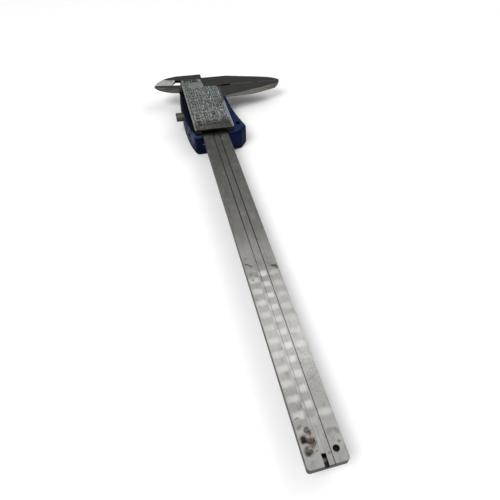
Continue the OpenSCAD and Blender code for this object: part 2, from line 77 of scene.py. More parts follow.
def linear(level):
    """The linear value that shows at a screen level, 0 to 255."""
    shown = level / 255
    return shown / 12.92 if shown < 0.0404 else ((shown + 0.055) / 1.055) ** 2.4


def rgb(red, green, blue):
    """A colour given by its screen levels, as the linear values that a material takes."""
    return linear(red), linear(green), linear(blue)


def scaled(factor, colour):
    """The colour with each of its values multiplied by the factor."""
    return tuple(factor * value for value in colour)


def metal(red, green, blue):
    """A metal's colour that shows at about those screen levels under the white surroundings."""
    return scaled(0.8, rgb(red, green, blue))


def grey(level):
    """A metal's neutral tone that shows at about that screen level."""
    return metal(level, level, level - 2)


class Paint:
    """One material's node tree. Its coordinates are the piece's own."""

    def __init__(self, name, metallic=0.0, roughness=0.45, **sockets):
        self.material = bpy.data.materials.new(name)
        self.material.use_nodes = True
        self.tree = self.material.node_tree
        self.shader = self.tree.nodes["Principled BSDF"]
        self.set("Metallic", metallic)
        self.set("Roughness", roughness)
        for socket, value in sockets.items():
            self.set(socket.replace("_", " "), value)
        self.place = self.add("ShaderNodeTexCoord").outputs["Object"]

    def set(self, socket, value):
        self.put(self.shader.inputs[socket], value)

    def put(self, socket, value):
        """Links a node's output to the socket, or sets the socket to a number or a colour."""
        if isinstance(value, bpy.types.NodeSocket):
            self.tree.links.new(value, socket)
        elif isinstance(value, tuple) and len(value) == 3 and socket.type == "RGBA":
            socket.default_value = (*value, 1.0)
        else:
            socket.default_value = value

    def add(self, kind, inputs=(), **settings):
        """A new node with its settings, and with its inputs in order."""
        node = self.tree.nodes.new(kind)
        for key, value in settings.items():
            setattr(node, key, value)
        for i, value in enumerate(inputs):
            self.put(node.inputs[i], value)
        return node

    def math(self, operation, a, b=0.0, clamp=False):
        return self.add("ShaderNodeMath", (a, b), operation=operation, use_clamp=clamp).outputs[0]

    def times(self, *values):
        result = values[0]
        for value in values[1:]:
            result = self.math("MULTIPLY", result, value)
        return result

    def away(self, value, middle):
        """How far a value is from the middle, to either side."""
        return self.math("ABSOLUTE", self.math("SUBTRACT", value, middle))

    def ragged(self, value, noise, reach):
        """The value moved up and down by noise, in all by that reach."""
        return self.math("ADD", value, self.times(self.math("SUBTRACT", noise, 0.5), reach))

    def mapped(self, value, numbers, **settings):
        """The value carried from one range to another: low and high of the one, then of the other."""
        node = self.add("ShaderNodeMapRange", **settings)
        self.put(node.inputs["Value"], value)
        for socket, number in zip(("From Min", "From Max", "To Min", "To Max"), numbers):
            node.inputs[socket].default_value = number
        return node.outputs["Result"]

    def scale(self, value, low, high, out_low, out_high):
        """out_low at low and out_high at high, straight between them."""
        return self.mapped(value, (low, high, out_low, out_high))

    def rise(self, value, low, high):
        """0 below low and 1 above high, smooth between them. High may be the smaller one."""
        if low > high:
            return self.mapped(value, (high, low, 1.0, 0.0), interpolation_type="SMOOTHSTEP")
        return self.mapped(value, (low, high, 0.0, 1.0), interpolation_type="SMOOTHSTEP")

    def band(self, value, start, full, fade, end):
        """1 between full and fade, 0 below start and above end."""
        return self.times(self.rise(value, start, full), self.rise(value, end, fade))

    def stretched(self, x, y, z):
        """Coordinates in metres, multiplied axis by axis."""
        return self.add("ShaderNodeVectorMath", (self.place, (x, y, z)), operation="MULTIPLY").outputs[0]

    def noise(self, x, y, z, detail=2.0, rough=0.5):
        """Noise with that many waves to a metre along each axis, from 0 to 1."""
        node = self.add("ShaderNodeTexNoise")
        self.put(node.inputs["Vector"], self.stretched(x, y, z))
        node.inputs["Scale"].default_value = 1.0
        node.inputs["Detail"].default_value = detail
        node.inputs["Roughness"].default_value = rough
        return node.outputs["Fac"]

    def axes(self):
        """The coordinates x, y and z in millimetres."""
        metres = self.add("ShaderNodeSeparateXYZ", (self.place,)).outputs
        return [self.math("DIVIDE", value, MM) for value in metres]

    def normal(self):
        """The surface's own direction, as x, y and z."""
        direction = self.add("ShaderNodeTexCoord").outputs["Normal"]
        return self.add("ShaderNodeSeparateXYZ", (direction,)).outputs

    def ramp(self, value, stops):
        """A colour along value, from stops of (place, colour)."""
        node = self.add("ShaderNodeValToRGB", (value,))
        elements = node.color_ramp.elements
        for element, (place, colour) in zip(elements, (stops[0], stops[-1])):
            element.position = place
            element.color = (*colour, 1.0)
        for place, colour in stops[1:-1]:
            elements.new(place).color = (*colour, 1.0)
        return node.outputs["Color"]

    def mix(self, factor, a, b, how="MIX"):
        """Colour a at factor 0 and colour b at factor 1."""
        node = self.add("ShaderNodeMix", data_type="RGBA", blend_type=how)
        self.put(node.inputs[0], factor)
        self.put(node.inputs[6], a)
        self.put(node.inputs[7], b)
        return node.outputs[2]

    def cover(self, colour, top, *masks):
        """The colour with the top one laid over it, as strongly as the masks multiplied."""
        return self.mix(self.times(*masks), colour, top)

    def spot(self, x, y, half_x, half_y, turn=0.0, ragged=0.0, soft=0.5):
        """1 inside an ellipse in plan, 0 outside, with a ragged edge. Millimetres and degrees."""
        moved = self.add("ShaderNodeMapping", vector_type="TEXTURE")
        self.put(moved.inputs["Vector"], self.place)
        moved.inputs["Location"].default_value = (x * MM, y * MM, 0)
        moved.inputs["Rotation"].default_value = (0, 0, math.radians(turn))
        moved.inputs["Scale"].default_value = (half_x * MM, half_y * MM, ANY_HEIGHT)
        size = self.add("ShaderNodeVectorMath", (moved.outputs[0],), operation="LENGTH").outputs["Value"]
        if ragged:
            size = self.ragged(size, self.noise(900, 900, 900, 4, 0.65), ragged)
        return self.rise(size, 1.0 + soft / 2, 1.0 - soft / 2)

    def bump(self, height, distance, strength=1.0):
        node = self.add("ShaderNodeBump")
        node.inputs["Strength"].default_value = strength
        node.inputs["Distance"].default_value = distance
        self.put(node.inputs["Height"], height)
        self.set("Normal", node.outputs["Normal"])


# Steels

def steel(name, tone, across="x", roughness=0.34, side=None, metallic=1.0, speck=0.0, depth=0.12,
          **sockets):
    """Ground steel: grinding lines, smears, scratches, and side faces in a painted shade of their own.

    Grinding runs along the other axis than across. The paint keeps its shade, its mask of flat
    faces and its colour, for the materials that go on from it."""
    p = Paint(name, metallic=metallic, roughness=roughness, **sockets)
    if across == "x":
        lines = p.noise(5200, 160, 5200, 3, 0.6)
        scratch = p.noise(1500, 40, 1500, 1, 0.4)
    else:
        lines = p.noise(160, 5200, 5200, 3, 0.6)
        scratch = p.noise(40, 1500, 1500, 1, 0.4)
    smear = p.noise(150, 90, 150, 4, 0.6)
    shade = p.math("ADD", p.times(lines, 0.55), p.times(smear, 0.45))
    shade = p.scale(shade, 0.3, 0.7, 1 - depth, 1 + depth)
    shade = p.times(shade, p.scale(p.rise(scratch, 0.68, 0.74), 0, 1, 1, 0.75))
    p.shade = p.add("ShaderNodeCombineColor", (shade, shade, shade)).outputs[0]
    p.flat = p.rise(p.math("ABSOLUTE", p.normal()[2]), 0.8, 0.97)
    colour = tone
    # painted shade: side faces in their own colour, apart from the flat tops
    if side:
        streak = p.noise(260, 260, 2600, 3, 0.6)
        edge = p.mix(p.rise(streak, 0.35, 0.65), scaled(0.75, side), scaled(1.15, side))
        colour = p.mix(p.flat, edge, tone)
    if speck:
        dots = p.noise(1400, 1400, 1400, 2, 0.5)
        colour = p.cover(colour, (0.012, 0.010, 0.008), p.rise(dots, 0.62, 0.74), speck)
    p.colour = p.mix(1.0, colour, p.shade, "MULTIPLY")
    p.set("Base Color", p.colour)
    sheen = p.math("ADD", p.times(lines, 0.4), p.times(smear, 0.6))
    p.set("Roughness", p.scale(sheen, 0.25, 0.75, roughness - 0.07, roughness + 0.1))
    p.bump(lines, 0.00001, 0.35)
    return p


# Lapped strips: low x, high x, phase, pitch, last y, fade, strength
BEAM_STRIPS = ((-7.9, -2.6, -153.4, 6.82, -231.5, 11, 0.62),
               (2.4, 7.6, -150.4, 6.85, -203, 11, 0.48),
               (-2.6, -1.6, -149.8, 6.84, -236, 34, 0.5))
ROD_STRIPS = ((-1.9, 1.7, -149.8, 6.84, -236, 34, 0.9),)
# Towards the beam's end, the lapped patches begin at the first place and are full from the second
LAPPED_START, LAPPED_FULL = -144.5, -151.5

# Painted reflection along the beam, from the casing to its free end: y and screen level
BEAM_REFLECTION_LEVELS = ((-30, 76), (-40, 80), (-52, 80), (-62, 89), (-72, 98), (-90, 109), (-105, 118),
              (-120, 128), (-128, 143), (-136, 162), (-142, 158), (-148, 162), (-155, 174),
              (-170, 186), (-190, 194), (-203, 184), (-212, 163), (-224, 156), (-232, 170),
              (-242, 160))

# Rust near the beam's end: x, y, half widths along x and y, turn
RUST_PATCHES = ((-3.7, -228.2, 1.1, 1.7, 10), (-5.9, -230.9, 1.3, 1.7, 0),
                (-3.4, -232.4, 1.5, 2.0, 10), (-5.4, -235.3, 1.6, 1.8, 0))
# Oil marks and stains: x, y, half widths, turn, strength
STAINS = ((-6.5, -142.9, 1.0, 0.45, -25, 0.75), (-4.9, -144.3, 1.2, 0.4, -40, 0.75),
          (5.6, -146.3, 1.1, 0.8, -20, 0.75), (6.9, -147.2, 0.7, 1.6, 8, 0.75),
          (-6.0, -149.8, 0.6, 0.8, 0, 0.4), (-5.9, -153.0, 0.8, 0.9, 0, 0.45),
          (-6.2, -222.6, 0.9, 0.4, 20, 0.55), (-5.4, -223.0, 0.4, 0.3, 0, 0.4),
          (4.7, -229.9, 1.5, 1.0, 0, 0.3), (6.7, -230.4, 0.8, 1.4, 20, 0.4),
          (6.3, -234.6, 0.6, 0.5, 0, 0.6), (1.5, -237.6, 0.7, 0.5, 20, 0.5),
          (-2.6, -235.9, 0.5, 0.4, 0, 0.5), (-6.8, -44.0, 0.6, 0.8, 0, 0.7),
          (-6.3, -226.0, 1.2, 0.7, 30, 0.45), (-1.2, -237.6, 0.6, 0.5, 0, 0.8))


def lapped(p, strips):
    """Bright lapped patches along the beam's outer part, strip by strip."""
    x, y, _ = p.axes()
    along = p.ragged(y, p.noise(420, 300, 10, 3, 0.6), 2.6)
    wear = p.scale(p.noise(90, 70, 10, 2, 0.5), 0.3, 0.7, 0.65, 1.25)
    total = None
    for low, high, phase, pitch, last, fade, strength in strips:
        half = (high - low) / 2
        turn = p.math("MULTIPLY", p.math("SUBTRACT", along, phase), 2 * math.pi / pitch)
        wave = p.rise(p.math("COSINE", turn), -0.55, 1.0)
        inside = p.rise(p.away(x, (low + high) / 2), half * 1.25, half * 0.45)
        reach = p.band(y, last, last + fade, LAPPED_FULL, LAPPED_START)
        patch = p.times(wave, inside, reach, wear, strength)
        total = patch if total is None else p.math("ADD", total, patch, clamp=True)
    return total


def beam_tone(p):
    """The beam's tone along its length, a painted reflection of the surroundings, darkest near the
    casing.
    """
    low, high = BEAM_REFLECTION_LEVELS[-1][0], BEAM_REFLECTION_LEVELS[0][0]
    stops = []
    for y, level in reversed(BEAM_REFLECTION_LEVELS):
        # slightly olive near the slider, warmer towards the free end
        warm = 0.5 if level > 115 else -0.5
        stops.append(((y - low) / (high - low), metal(level + warm, level - warm, level - 4)))
    return p.ramp(p.scale(p.axes()[1], low, high, 0.0, 1.0), stops)


def stained(p, colour):
    """Rust and oil marks near the beam's end and across its middle."""
    rust = p.noise(620, 480, 620, 5, 0.68)
    for place in RUST_PATCHES:
        patch = p.spot(*place, 1.1, 1.0)
        colour = p.cover(colour, (0.095, 0.070, 0.046), patch, p.rise(rust, 0.3, 0.44), 0.85)
        colour = p.cover(colour, (0.018, 0.012, 0.010), patch, p.rise(rust, 0.44, 0.58), 0.9)
    colour = p.cover(colour, (0.014, 0.011, 0.010), p.spot(-6.1, -230.9, 1.0, 1.4, 0, 0.5, 0.7), 0.9)
    for *place, strength in STAINS:
        colour = p.cover(colour, (0.04, 0.034, 0.03), p.spot(*place, 0.7, 0.8), strength)
    return colour


def groove_floor(p, colour):
    """The groove's floor, which shows in the notch at the rod's tip: a painted lit band, painted shade
    beyond it.
    """
    _, y, z = p.axes()
    floor = p.band(z, ROD_LOW.z - 0.6, ROD_LOW.z - 0.4, ROD_LOW.z + 1.0, ROD_LOW.z + 1.4)
    lit = p.band(y, BEAM_END + 1.7, BEAM_END + 2.5, BEAM_END + 3.1, BEAM_END + 3.7)
    # painted light on a band of the floor, painted shade on the rest and beyond it
    shown = p.mix(lit, (0.030, 0.028, 0.026), (0.13, 0.125, 0.13))
    shown = p.cover(shown, (0.006, 0.005, 0.005), p.rise(y, BEAM_END + 3.3, BEAM_END + 3.7))
    return p.cover(colour, shown, floor)


def beam_paint(name, strips, side_shade_level, roughness):
    """Steel of the beam and the rod, with patches, stains, a painted reflection along it and side faces
    painted dark as shade.
    """
    p = steel(name, grey(160), roughness=roughness, Specular_IOR_Level=0.05)
    x, y, _ = p.axes()
    tone = p.mix(1.0, beam_tone(p), p.shade, "MULTIPLY")
    cloud = p.noise(60, 45, 60, 3, 0.6)
    tone = p.cover(tone, scaled(0.6, grey(150)), p.rise(cloud, 0.45, 0.7), 0.22)
    tone = p.cover(tone, grey(222), p.spot(4.8, -222.6, 3.2, 1.5, 0, 0.3, 1.2), 0.42)
    mottle = p.noise(330, 240, 330, 4, 0.65)
    tone = p.cover(tone, (0.030, 0.030, 0.025), p.rise(mottle, 0.52, 0.72), 0.3)
    tone = p.cover(tone, (0.42, 0.43, 0.40), p.rise(mottle, 0.46, 0.3), 0.1)
    grain = p.noise(1700, 900, 1700, 3, 0.7)
    tone = p.cover(tone, grey(96), p.rise(grain, 0.55, 0.75), 0.18)
    tone = p.cover(tone, grey(230), p.rise(grain, 0.42, 0.25), 0.14)
    worn = p.times(p.rise(x, 2.4, 3.0), p.band(y, -220, -215, -196, -188))
    tone = p.cover(tone, grey(120), worn, p.rise(grain, 0.5, 0.62), 0.45)
    colour = p.cover(tone, metal(228, 226, 220), lapped(p, strips))
    colour = stained(p, colour)
    # painted shade along the rod's seams, darkest near the slider
    off = p.away(x, ROD_MIDDLE)
    seam_shade = p.band(off, ROD_HALF - 0.14, ROD_HALF - 0.08, ROD_HALF + 0.34, ROD_HALF + 0.42)
    colour = p.cover(colour, (0.004, 0.004, 0.004), seam_shade, p.rise(y, -165, -100), 0.97)
    # painted shade: the side faces darker than the top
    colour = p.mix(p.flat, rgb(side_shade_level, side_shade_level - 1, side_shade_level - 4), colour)
    p.set("Base Color", groove_floor(p, colour))
    # side faces don't mirror the floor
    p.set("Metallic", p.scale(p.flat, 0.0, 1.0, 0.1, 1.0))
    return p.material


def jaw_paint(name, facet):
    """Ground steel painted dark as a reflection of the surroundings, with side faces painted paler as
    lit and darker on the left jaws as shade. The fixed short jaw has a bright ground facet, a painted
    highlight.
    """
    p = steel(name, grey(73), across="y", roughness=0.38, speck=0.5, depth=0.2,
              Specular_Tint=(0.45, 0.45, 0.45))
    x, y, _ = p.axes()
    _, ny, nz = p.normal()
    # painted light and shade: side faces paler than the tops, darker towards the long jaw's tip and on
    # the left jaws
    streak = p.noise(130, 130, 3000, 3, 0.6)
    side = p.mix(p.rise(streak, 0.35, 0.65), (0.115, 0.108, 0.092), (0.185, 0.178, 0.155))
    side = p.cover(side, (0.10, 0.092, 0.078), p.rise(x, 46, 58))
    left = p.rise(x, -12.5, -14.5)
    left_side_shade = p.mix(p.rise(streak, 0.4, 0.6), (0.045, 0.041, 0.034), (0.13, 0.122, 0.104))
    side = p.cover(side, left_side_shade, left)
    colour = p.mix(p.flat, side, p.colour)
    # a painted highlight along the meeting line, and painted shade on the walls of the relief slit
    from_line = p.away(y, JAW_LINE)
    fixed_side = p.rise(y, JAW_LINE - 0.1, JAW_LINE + 0.1)
    patchy = p.rise(p.noise(300, 60, 60, 3, 0.6), 0.35, 0.6)
    colour = p.cover(colour, (0.22, 0.225, 0.21), p.rise(from_line, 0.5, 0.3), fixed_side,
                     p.rise(x, 22.6, 23.2), patchy, 0.6)
    slit = p.times(p.rise(from_line, 1.1, 0.8), p.band(x, 15.2, 15.8, 22.2, 22.6))
    colour = p.cover(colour, (0.004, 0.004, 0.004), slit)
    # painted shadow on the walls of the short jaws' see-through notch
    notch = p.times(p.band(x, -19.6, -19.2, -11.9, -11.5),
                    p.band(y, JAW_LINE + 0.5, JAW_LINE + 0.9, JAW_LINE + 8.1, JAW_LINE + 8.5))
    colour = p.cover(colour, (0.008, 0.008, 0.008), p.math("SUBTRACT", 1.0, p.flat), notch)
    # painted highlight on the fixed short jaw's ground facet, picked out by its slant
    if facet:
        ground = p.rise(p.noise(500, 300, 300, 4, 0.7), 0.3, 0.42)
        colour = p.cover(colour, (0.40, 0.40, 0.385), p.rise(ny, -0.08, -0.13),
                         p.rise(nz, 0.9, 0.97), left, ground)
    p.set("Base Color", colour)
    return p.material


def plate_paint():
    """Ground steel of the slider's plate, dirty along its front right edge, with side faces in painted
    shade.
    """
    p = steel("plate_steel", grey(160), roughness=0.36, side=(0.075, 0.072, 0.060), speck=0.4)
    x, y, _ = p.axes()
    colour = p.cover(p.colour, (0.028, 0.028, 0.024), p.rise(x, 9.5, 11.5), p.rise(y, 4.0, 6.0), 0.85)
    p.set("Base Color", colour)
    return p.material


def knob_paint():
    """Dull steel of the lock screw, with painted shade on its lower half and at the rim of its end."""
    p = steel("knob_steel", (0.085, 0.085, 0.078), roughness=0.42, speck=0.6, depth=0.4)
    x, _, z = p.axes()
    # painted shade on the lower half and on the end's rim
    lower = p.rise(z, KNOB_MIDDLE.z, KNOB_MIDDLE.z - 2.2)
    rim = p.rise(x, KNOB_LOW.x + 0.6, KNOB_LOW.x + 0.3)
    colour = p.cover(p.colour, (0.035, 0.036, 0.036), lower, 0.6)
    p.set("Base Color", p.cover(colour, (0.014, 0.014, 0.013), rim, 0.8))
    return p.material


beam_steel = beam_paint("beam_steel", BEAM_STRIPS, 58, 0.34)
rod_steel = beam_paint("rod_steel", ROD_STRIPS, 40, 0.32)
jaw_steel = jaw_paint("jaw_steel", True)
slider_steel = jaw_paint("slider_steel", False)
plate_steel = plate_paint()
knob_steel = knob_paint()
shadow_steel = steel("shadow_steel", (0.008, 0.008, 0.009), roughness=0.6, metallic=0.0, depth=0.3,
                     Specular_IOR_Level=0.08).material
black_steel = steel("black_steel", (0.006, 0.005, 0.004), roughness=0.5, metallic=0.0, depth=0.4,
                    Specular_IOR_Level=0.1).material
screw_steel = steel("screw_steel", (0.4, 0.4, 0.4), roughness=0.3, depth=0.25).material
brass = steel("brass", (0.30, 0.19, 0.055), roughness=0.4, depth=0.2).material
plated_steel = steel("plated_steel", (0.6, 0.6, 0.6), roughness=0.24).material


# Plastics, glass and ink

def plastic(name, base, deep, roughness=0.45, grain=0.00002, **sockets):
    """Moulded plastic with a fine grain and soft blotches of a deeper tone."""
    p = Paint(name, roughness=roughness, **sockets)
    blotch = p.noise(120, 120, 120, 3, 0.55)
    pores = p.noise(4200, 4200, 4200, 2, 0.6)
    cloud = p.math("ADD", p.times(blotch, 0.7), p.times(pores, 0.3))
    p.colour = p.mix(p.rise(cloud, 0.3, 0.7), deep, base)
    p.set("Base Color", p.colour)
    p.set("Roughness", p.scale(blotch, 0.3, 0.7, roughness - 0.06, roughness + 0.08))
    p.bump(pores, grain, 0.5)
    return p


def casing_paint():
    """Navy plastic with painted light: bluer and lighter tops, a painted highlight at the rear left,
    near black end walls, and a dusty left side with a painted sheen.
    """
    p = plastic("navy_plastic", (0.0040, 0.0080, 0.026), (0.002, 0.0045, 0.016), roughness=0.5,
                Specular_IOR_Level=0.015)
    x, y, z = p.axes()
    nx, _, nz = p.normal()
    cloud = p.noise(160, 120, 160, 4, 0.6)
    # painted light: top faces bluer and lighter on the right; painted shadow of the plate on the left
    # tops
    top = p.rise(nz, 0.35, 0.8)
    top_light = p.mix(p.rise(cloud, 0.35, 0.65), (0.006, 0.012, 0.040), (0.013, 0.024, 0.070))
    colour = p.cover(p.colour, top_light, top, p.rise(x, -2, 4))
    colour = p.cover(colour, (0.0010, 0.0022, 0.0085), top, p.rise(x, -4, -8))
    # a painted highlight on the rim at the rear left, and painted light on the wall behind the thumb
    # hook
    rim = p.band(nz, 0.12, 0.4, 0.8, 0.97)
    colour = p.cover(colour, (0.024, 0.042, 0.125), rim, p.rise(y, -22, -28), p.rise(x, 4, -4), 0.8)
    colour = p.cover(colour, (0.0075, 0.0135, 0.050), p.rise(nz, 0.35, 0.1), p.rise(x, 4, 9),
                     p.rise(y, -18, -24), 0.5)
    # the left side: dusty with a painted sheen behind, dark in front, with painted shade in the wall's
    # slot
    left = p.rise(nx, -0.35, -0.8)
    dust_and_sheen = p.mix(p.rise(cloud, 0.38, 0.62), (0.012, 0.016, 0.032), (0.060, 0.074, 0.105))
    colour = p.cover(colour, dust_and_sheen, left, p.band(y, -31, -24, -8, 4), p.rise(z, 2, 8))
    colour = p.cover(colour, (0.002, 0.003, 0.009), left, p.rise(y, -4, 4))
    slot = p.times(p.band(y, -22.4, -22.1, -18.4, -18.1), p.band(z, 7.4, 7.7, 9.6, 9.9))
    colour = p.cover(colour, (0.0008, 0.001, 0.004), slot, left)
    # pale specks all over, and a pale spot on the rear wall
    speck = p.noise(1300, 1300, 1300, 2, 0.5)
    colour = p.cover(colour, (0.10, 0.11, 0.15), p.rise(speck, 0.74, 0.8), 0.35)
    pale_spot = p.times(p.rise(p.away(x, -8), 0.6, 0.4), p.rise(p.away(z, 7), 0.5, 0.3))
    colour = p.cover(colour, (0.10, 0.11, 0.15), pale_spot, p.rise(y, -29, -30))
    p.set("Base Color", colour)
    return p.material


def window_paint():
    """Clear plastic of the display's window."""
    p = Paint("window", roughness=0.05, Transmission_Weight=1.0, IOR=1.49)
    cloud = p.noise(400, 400, 400, 3, 0.5)
    p.set("Base Color", p.mix(cloud, (0.93, 0.96, 0.95), (0.99, 0.99, 0.99)))
    return p.material


navy_plastic = casing_paint()
window_clear = window_paint()
dark_plastic = plastic("dark_plastic", (0.03, 0.03, 0.033), (0.016, 0.016, 0.018), 0.4).material
rubber = plastic("rubber", (0.09, 0.09, 0.095), (0.05, 0.05, 0.055), 0.75).material
board_green = plastic("board_green", (0.02, 0.12, 0.05), (0.012, 0.07, 0.03), 0.35).material
black_resin = plastic("black_resin", (0.02, 0.02, 0.02), (0.01, 0.01, 0.01), 0.3).material
red_button = plastic("red_button", (0.42, 0.035, 0.02), (0.3, 0.02, 0.014), 0.4).material
yellow_button = plastic("yellow_button", (0.62, 0.36, 0.03), (0.5, 0.27, 0.02), 0.4).material
grey_button = plastic("grey_button", (0.3, 0.31, 0.32), (0.22, 0.23, 0.24), 0.42).material
scale_green = plastic("scale_board", (0.03, 0.1, 0.05), (0.02, 0.07, 0.035), 0.4).material
scale_film = plastic("scale_film", (0.06, 0.065, 0.075), (0.04, 0.043, 0.05), 0.35).material
display = plastic("display", (0.36, 0.4, 0.34), (0.31, 0.35, 0.3), 0.2, grain=0.000002).material
ink_dark = plastic("ink_dark", (0.018, 0.02, 0.02), (0.01, 0.011, 0.012), 0.6,
                   Specular_IOR_Level=0.05).material
ink_light = plastic("ink_light", (0.75, 0.77, 0.76), (0.6, 0.62, 0.61), 0.5).material


# Silver film of the label and of the head's small plate

def label_paint(name, plain):
    """Silver film, worn and speckled. The plain one has no brown end and no worn right edge."""
    p = Paint(name, metallic=0.2, roughness=0.55, Specular_IOR_Level=0.1)
    x, y, _ = p.axes()
    cloud = p.noise(210, 150, 100, 4, 0.6)
    grit = p.noise(1500, 620, 100, 2, 0.6)
    fine = p.noise(3000, 1300, 100, 2, 0.6)
    film = (0.105, 0.115, 0.106) if plain else (0.124, 0.136, 0.128)
    colour = p.mix(p.rise(cloud, 0.3, 0.7), scaled(0.75, film), scaled(1.3, film))
    blue = p.times(p.rise(p.noise(90, 70, 100, 2, 0.5), 0.42, 0.62), p.rise(y, -5, 8))
    colour = p.cover(colour, (0.135, 0.165, 0.172), blue, 0.2 if plain else 0.7)
    # dark printed dots, then pale worn places and dark grains
    grid = p.add("ShaderNodeTexVoronoi", (p.stretched(800, 530, 100),))
    grid.inputs["Scale"].default_value = 1.0
    grid.inputs["Randomness"].default_value = 0.5
    dots = p.rise(grid.outputs["Distance"], 0.42, 0.24)
    colour = p.cover(colour, (0.012, 0.013, 0.010), dots, p.rise(grit, 0.32, 0.52), 0.92)
    colour = p.cover(colour, (0.46, 0.49, 0.475), p.rise(grit, 0.45, 0.34), 0.35 if plain else 0.85)
    colour = p.cover(colour, (0.03, 0.03, 0.026), p.rise(fine, 0.55, 0.68), 0.4)
    olive = p.times(p.rise(x, -5.0, -10.5), p.rise(y, -14, -4), p.rise(cloud, 0.3, 0.6))
    colour = p.cover(colour, (0.095, 0.094, 0.066), olive, 0.5)
    # the blank field below the header
    field = p.times(p.band(x, -7.6, -7.0, 1.2, 1.8), p.band(y, 26.2, 26.8, 33.5, 34.5))
    blank = p.mix(p.rise(cloud, 0.35, 0.65), (0.11, 0.12, 0.11), (0.165, 0.18, 0.165))
    colour = p.cover(colour, blank, field, 0.75)
    if plain:
        # rubbed dark in its upper part
        dark_top = p.rise(p.ragged(y, cloud, 4), 33.3, 35.2)
        colour = p.cover(colour, (0.040, 0.042, 0.037), dark_top, p.rise(grit, 0.45, 0.6), 0.6)
    else:
        low_end = p.rise(p.ragged(y, cloud, 12), -14.5, -22.5)
        colour = p.cover(colour, (0.027, 0.025, 0.017), low_end, p.scale(x, -12, 12, 0.7, 0.95))
        # the right edge: dirty and dark above, bare and bluish below, with a hole between them
        edge = p.rise(x, 11.2, 11.7)
        colour = p.cover(colour, (0.030, 0.030, 0.025), edge, p.rise(y, 5.0, 6.2), 0.85)
        bare = p.scale(grit, 0.5, 0.62, 1.0, 0.7)
        colour = p.cover(colour, (0.150, 0.172, 0.192), edge, p.rise(y, 4.6, 3.0), bare)
        hole = p.spot(10.9, 4.2, 1.0, 1.3, 0, 0.6, 0.8)
        colour = p.cover(colour, (0.012, 0.013, 0.016), hole, 0.85)
    p.set("Base Color", colour)
    p.set("Roughness", p.scale(cloud, 0.3, 0.7, 0.42, 0.6))
    p.bump(grit, 0.00004, 0.5)
    return p.material


label_silver = label_paint("label_silver", False)
header_silver = label_paint("header_silver", True)


# Helpers for shapes, which work in metres unless they say otherwise

FLAT_BELOW = math.radians(0.6)  # faces that meet at less than this are one flat face
SMOOTH_BELOW = math.radians(38)
BEVEL_ABOVE = math.radians(35)
UP = (0, 0, 1)
ALONG = (0, 1, 0)


def link(name, mesh, *materials):
    """A new piece in the scene with its mesh and materials."""
    piece = bpy.data.objects.new(name, mesh)
    scene.collection.objects.link(piece)
    for material in materials:
        piece.data.materials.append(material)
    return piece


def put(piece, body, slot, *replaced):
    """Puts the piece on the body that it rides on and hides the solids that it stands for. The slot is
    not used.
    """
    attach(piece, body)
    if replaced:
        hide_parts(*replaced)


def clean_copy(node):
    """The CAD solid's mesh with its triangles joined into whole flat faces."""
    work = bmesh.new()
    work.from_mesh(nodes[node].data)
    bmesh.ops.remove_doubles(work, verts=work.verts, dist=0.000002)
    bmesh.ops.dissolve_limit(work, angle_limit=FLAT_BELOW, verts=work.verts, edges=work.edges)
    return work


def sliced(work, place, direction):
    """Cuts every face along a plane and gives what lies in it."""
    return bmesh.ops.bisect_plane(work, geom=work.verts[:] + work.edges[:] + work.faces[:],
                                  plane_co=place, plane_no=direction, dist=1e-7)["geom_cut"]


def rear_rounded(node, radius):
    """A clean copy whose two rear corners are rounded by that radius in millimetres."""
    work = clean_copy(node)
    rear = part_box(node)[0].y
    corners = []
    for edge in work.edges:
        a, b = (vert.co for vert in edge.verts)
        at_rear = abs(a.y - rear) < 1e-5 and abs(b.y - rear) < 1e-5
        if at_rear and (a - b).xy.length < 1e-6:
            corners.append(edge)
    bmesh.ops.bevel(work, geom=corners, offset=radius * MM, segments=6, profile=0.5, affect="EDGES")
    return work


def shaded(work, name):
    """A mesh from the working copy: smooth but for its sharp edges."""
    for face in work.faces:
        face.smooth = True
        face.material_index = 0
    for edge in work.edges:
        edge.smooth = len(edge.link_faces) == 2 and edge.calc_face_angle(0.0) < SMOOTH_BELOW
    mesh = bpy.data.meshes.new(name)
    work.to_mesh(mesh)
    work.free()
    return mesh


def baked_mesh(piece):
    """The piece's mesh with its modifiers applied."""
    return bpy.data.meshes.new_from_object(piece.evaluated_get(bpy.context.evaluated_depsgraph_get()))


def dressed(node, body, slot, material, width, work=None, segments=2):
    """A copy of a CAD solid with edges softened by that width in millimetres, in its place."""
    name = node + "_soft"
    piece = link(name, shaded(work or clean_copy(node), name), material)
    if width:
        bevel = piece.modifiers.new("bevel", "BEVEL")
        bevel.width = width * MM
        bevel.segments = segments
        bevel.limit_method = "ANGLE"
        bevel.angle_limit = BEVEL_ABOVE
        bevel.use_clamp_overlap = True
        bevel.miter_outer = "MITER_ARC"
        bevel.harden_normals = False
    even = piece.modifiers.new("even", "WEIGHTED_NORMAL")
    even.keep_sharp = True
    even.weight = 80
    mesh = baked_mesh(piece)
    piece.modifiers.clear()
    piece.data = mesh
    put(piece, body, slot, node)
    return piece


def two_steels(node, body, width, start, rear_steel, front_steel):
    """A dressed piece whose steel changes at y = start, in millimetres."""
    work = clean_copy(node)
    sliced(work, (0, start * MM, 0), ALONG)
    piece = dressed(node, body, "ground_steel", rear_steel, width, work=work)
    piece.data.materials.append(front_steel)
    for face in piece.data.polygons:
        face.material_index = int(face.center.y > start * MM)


# Casing

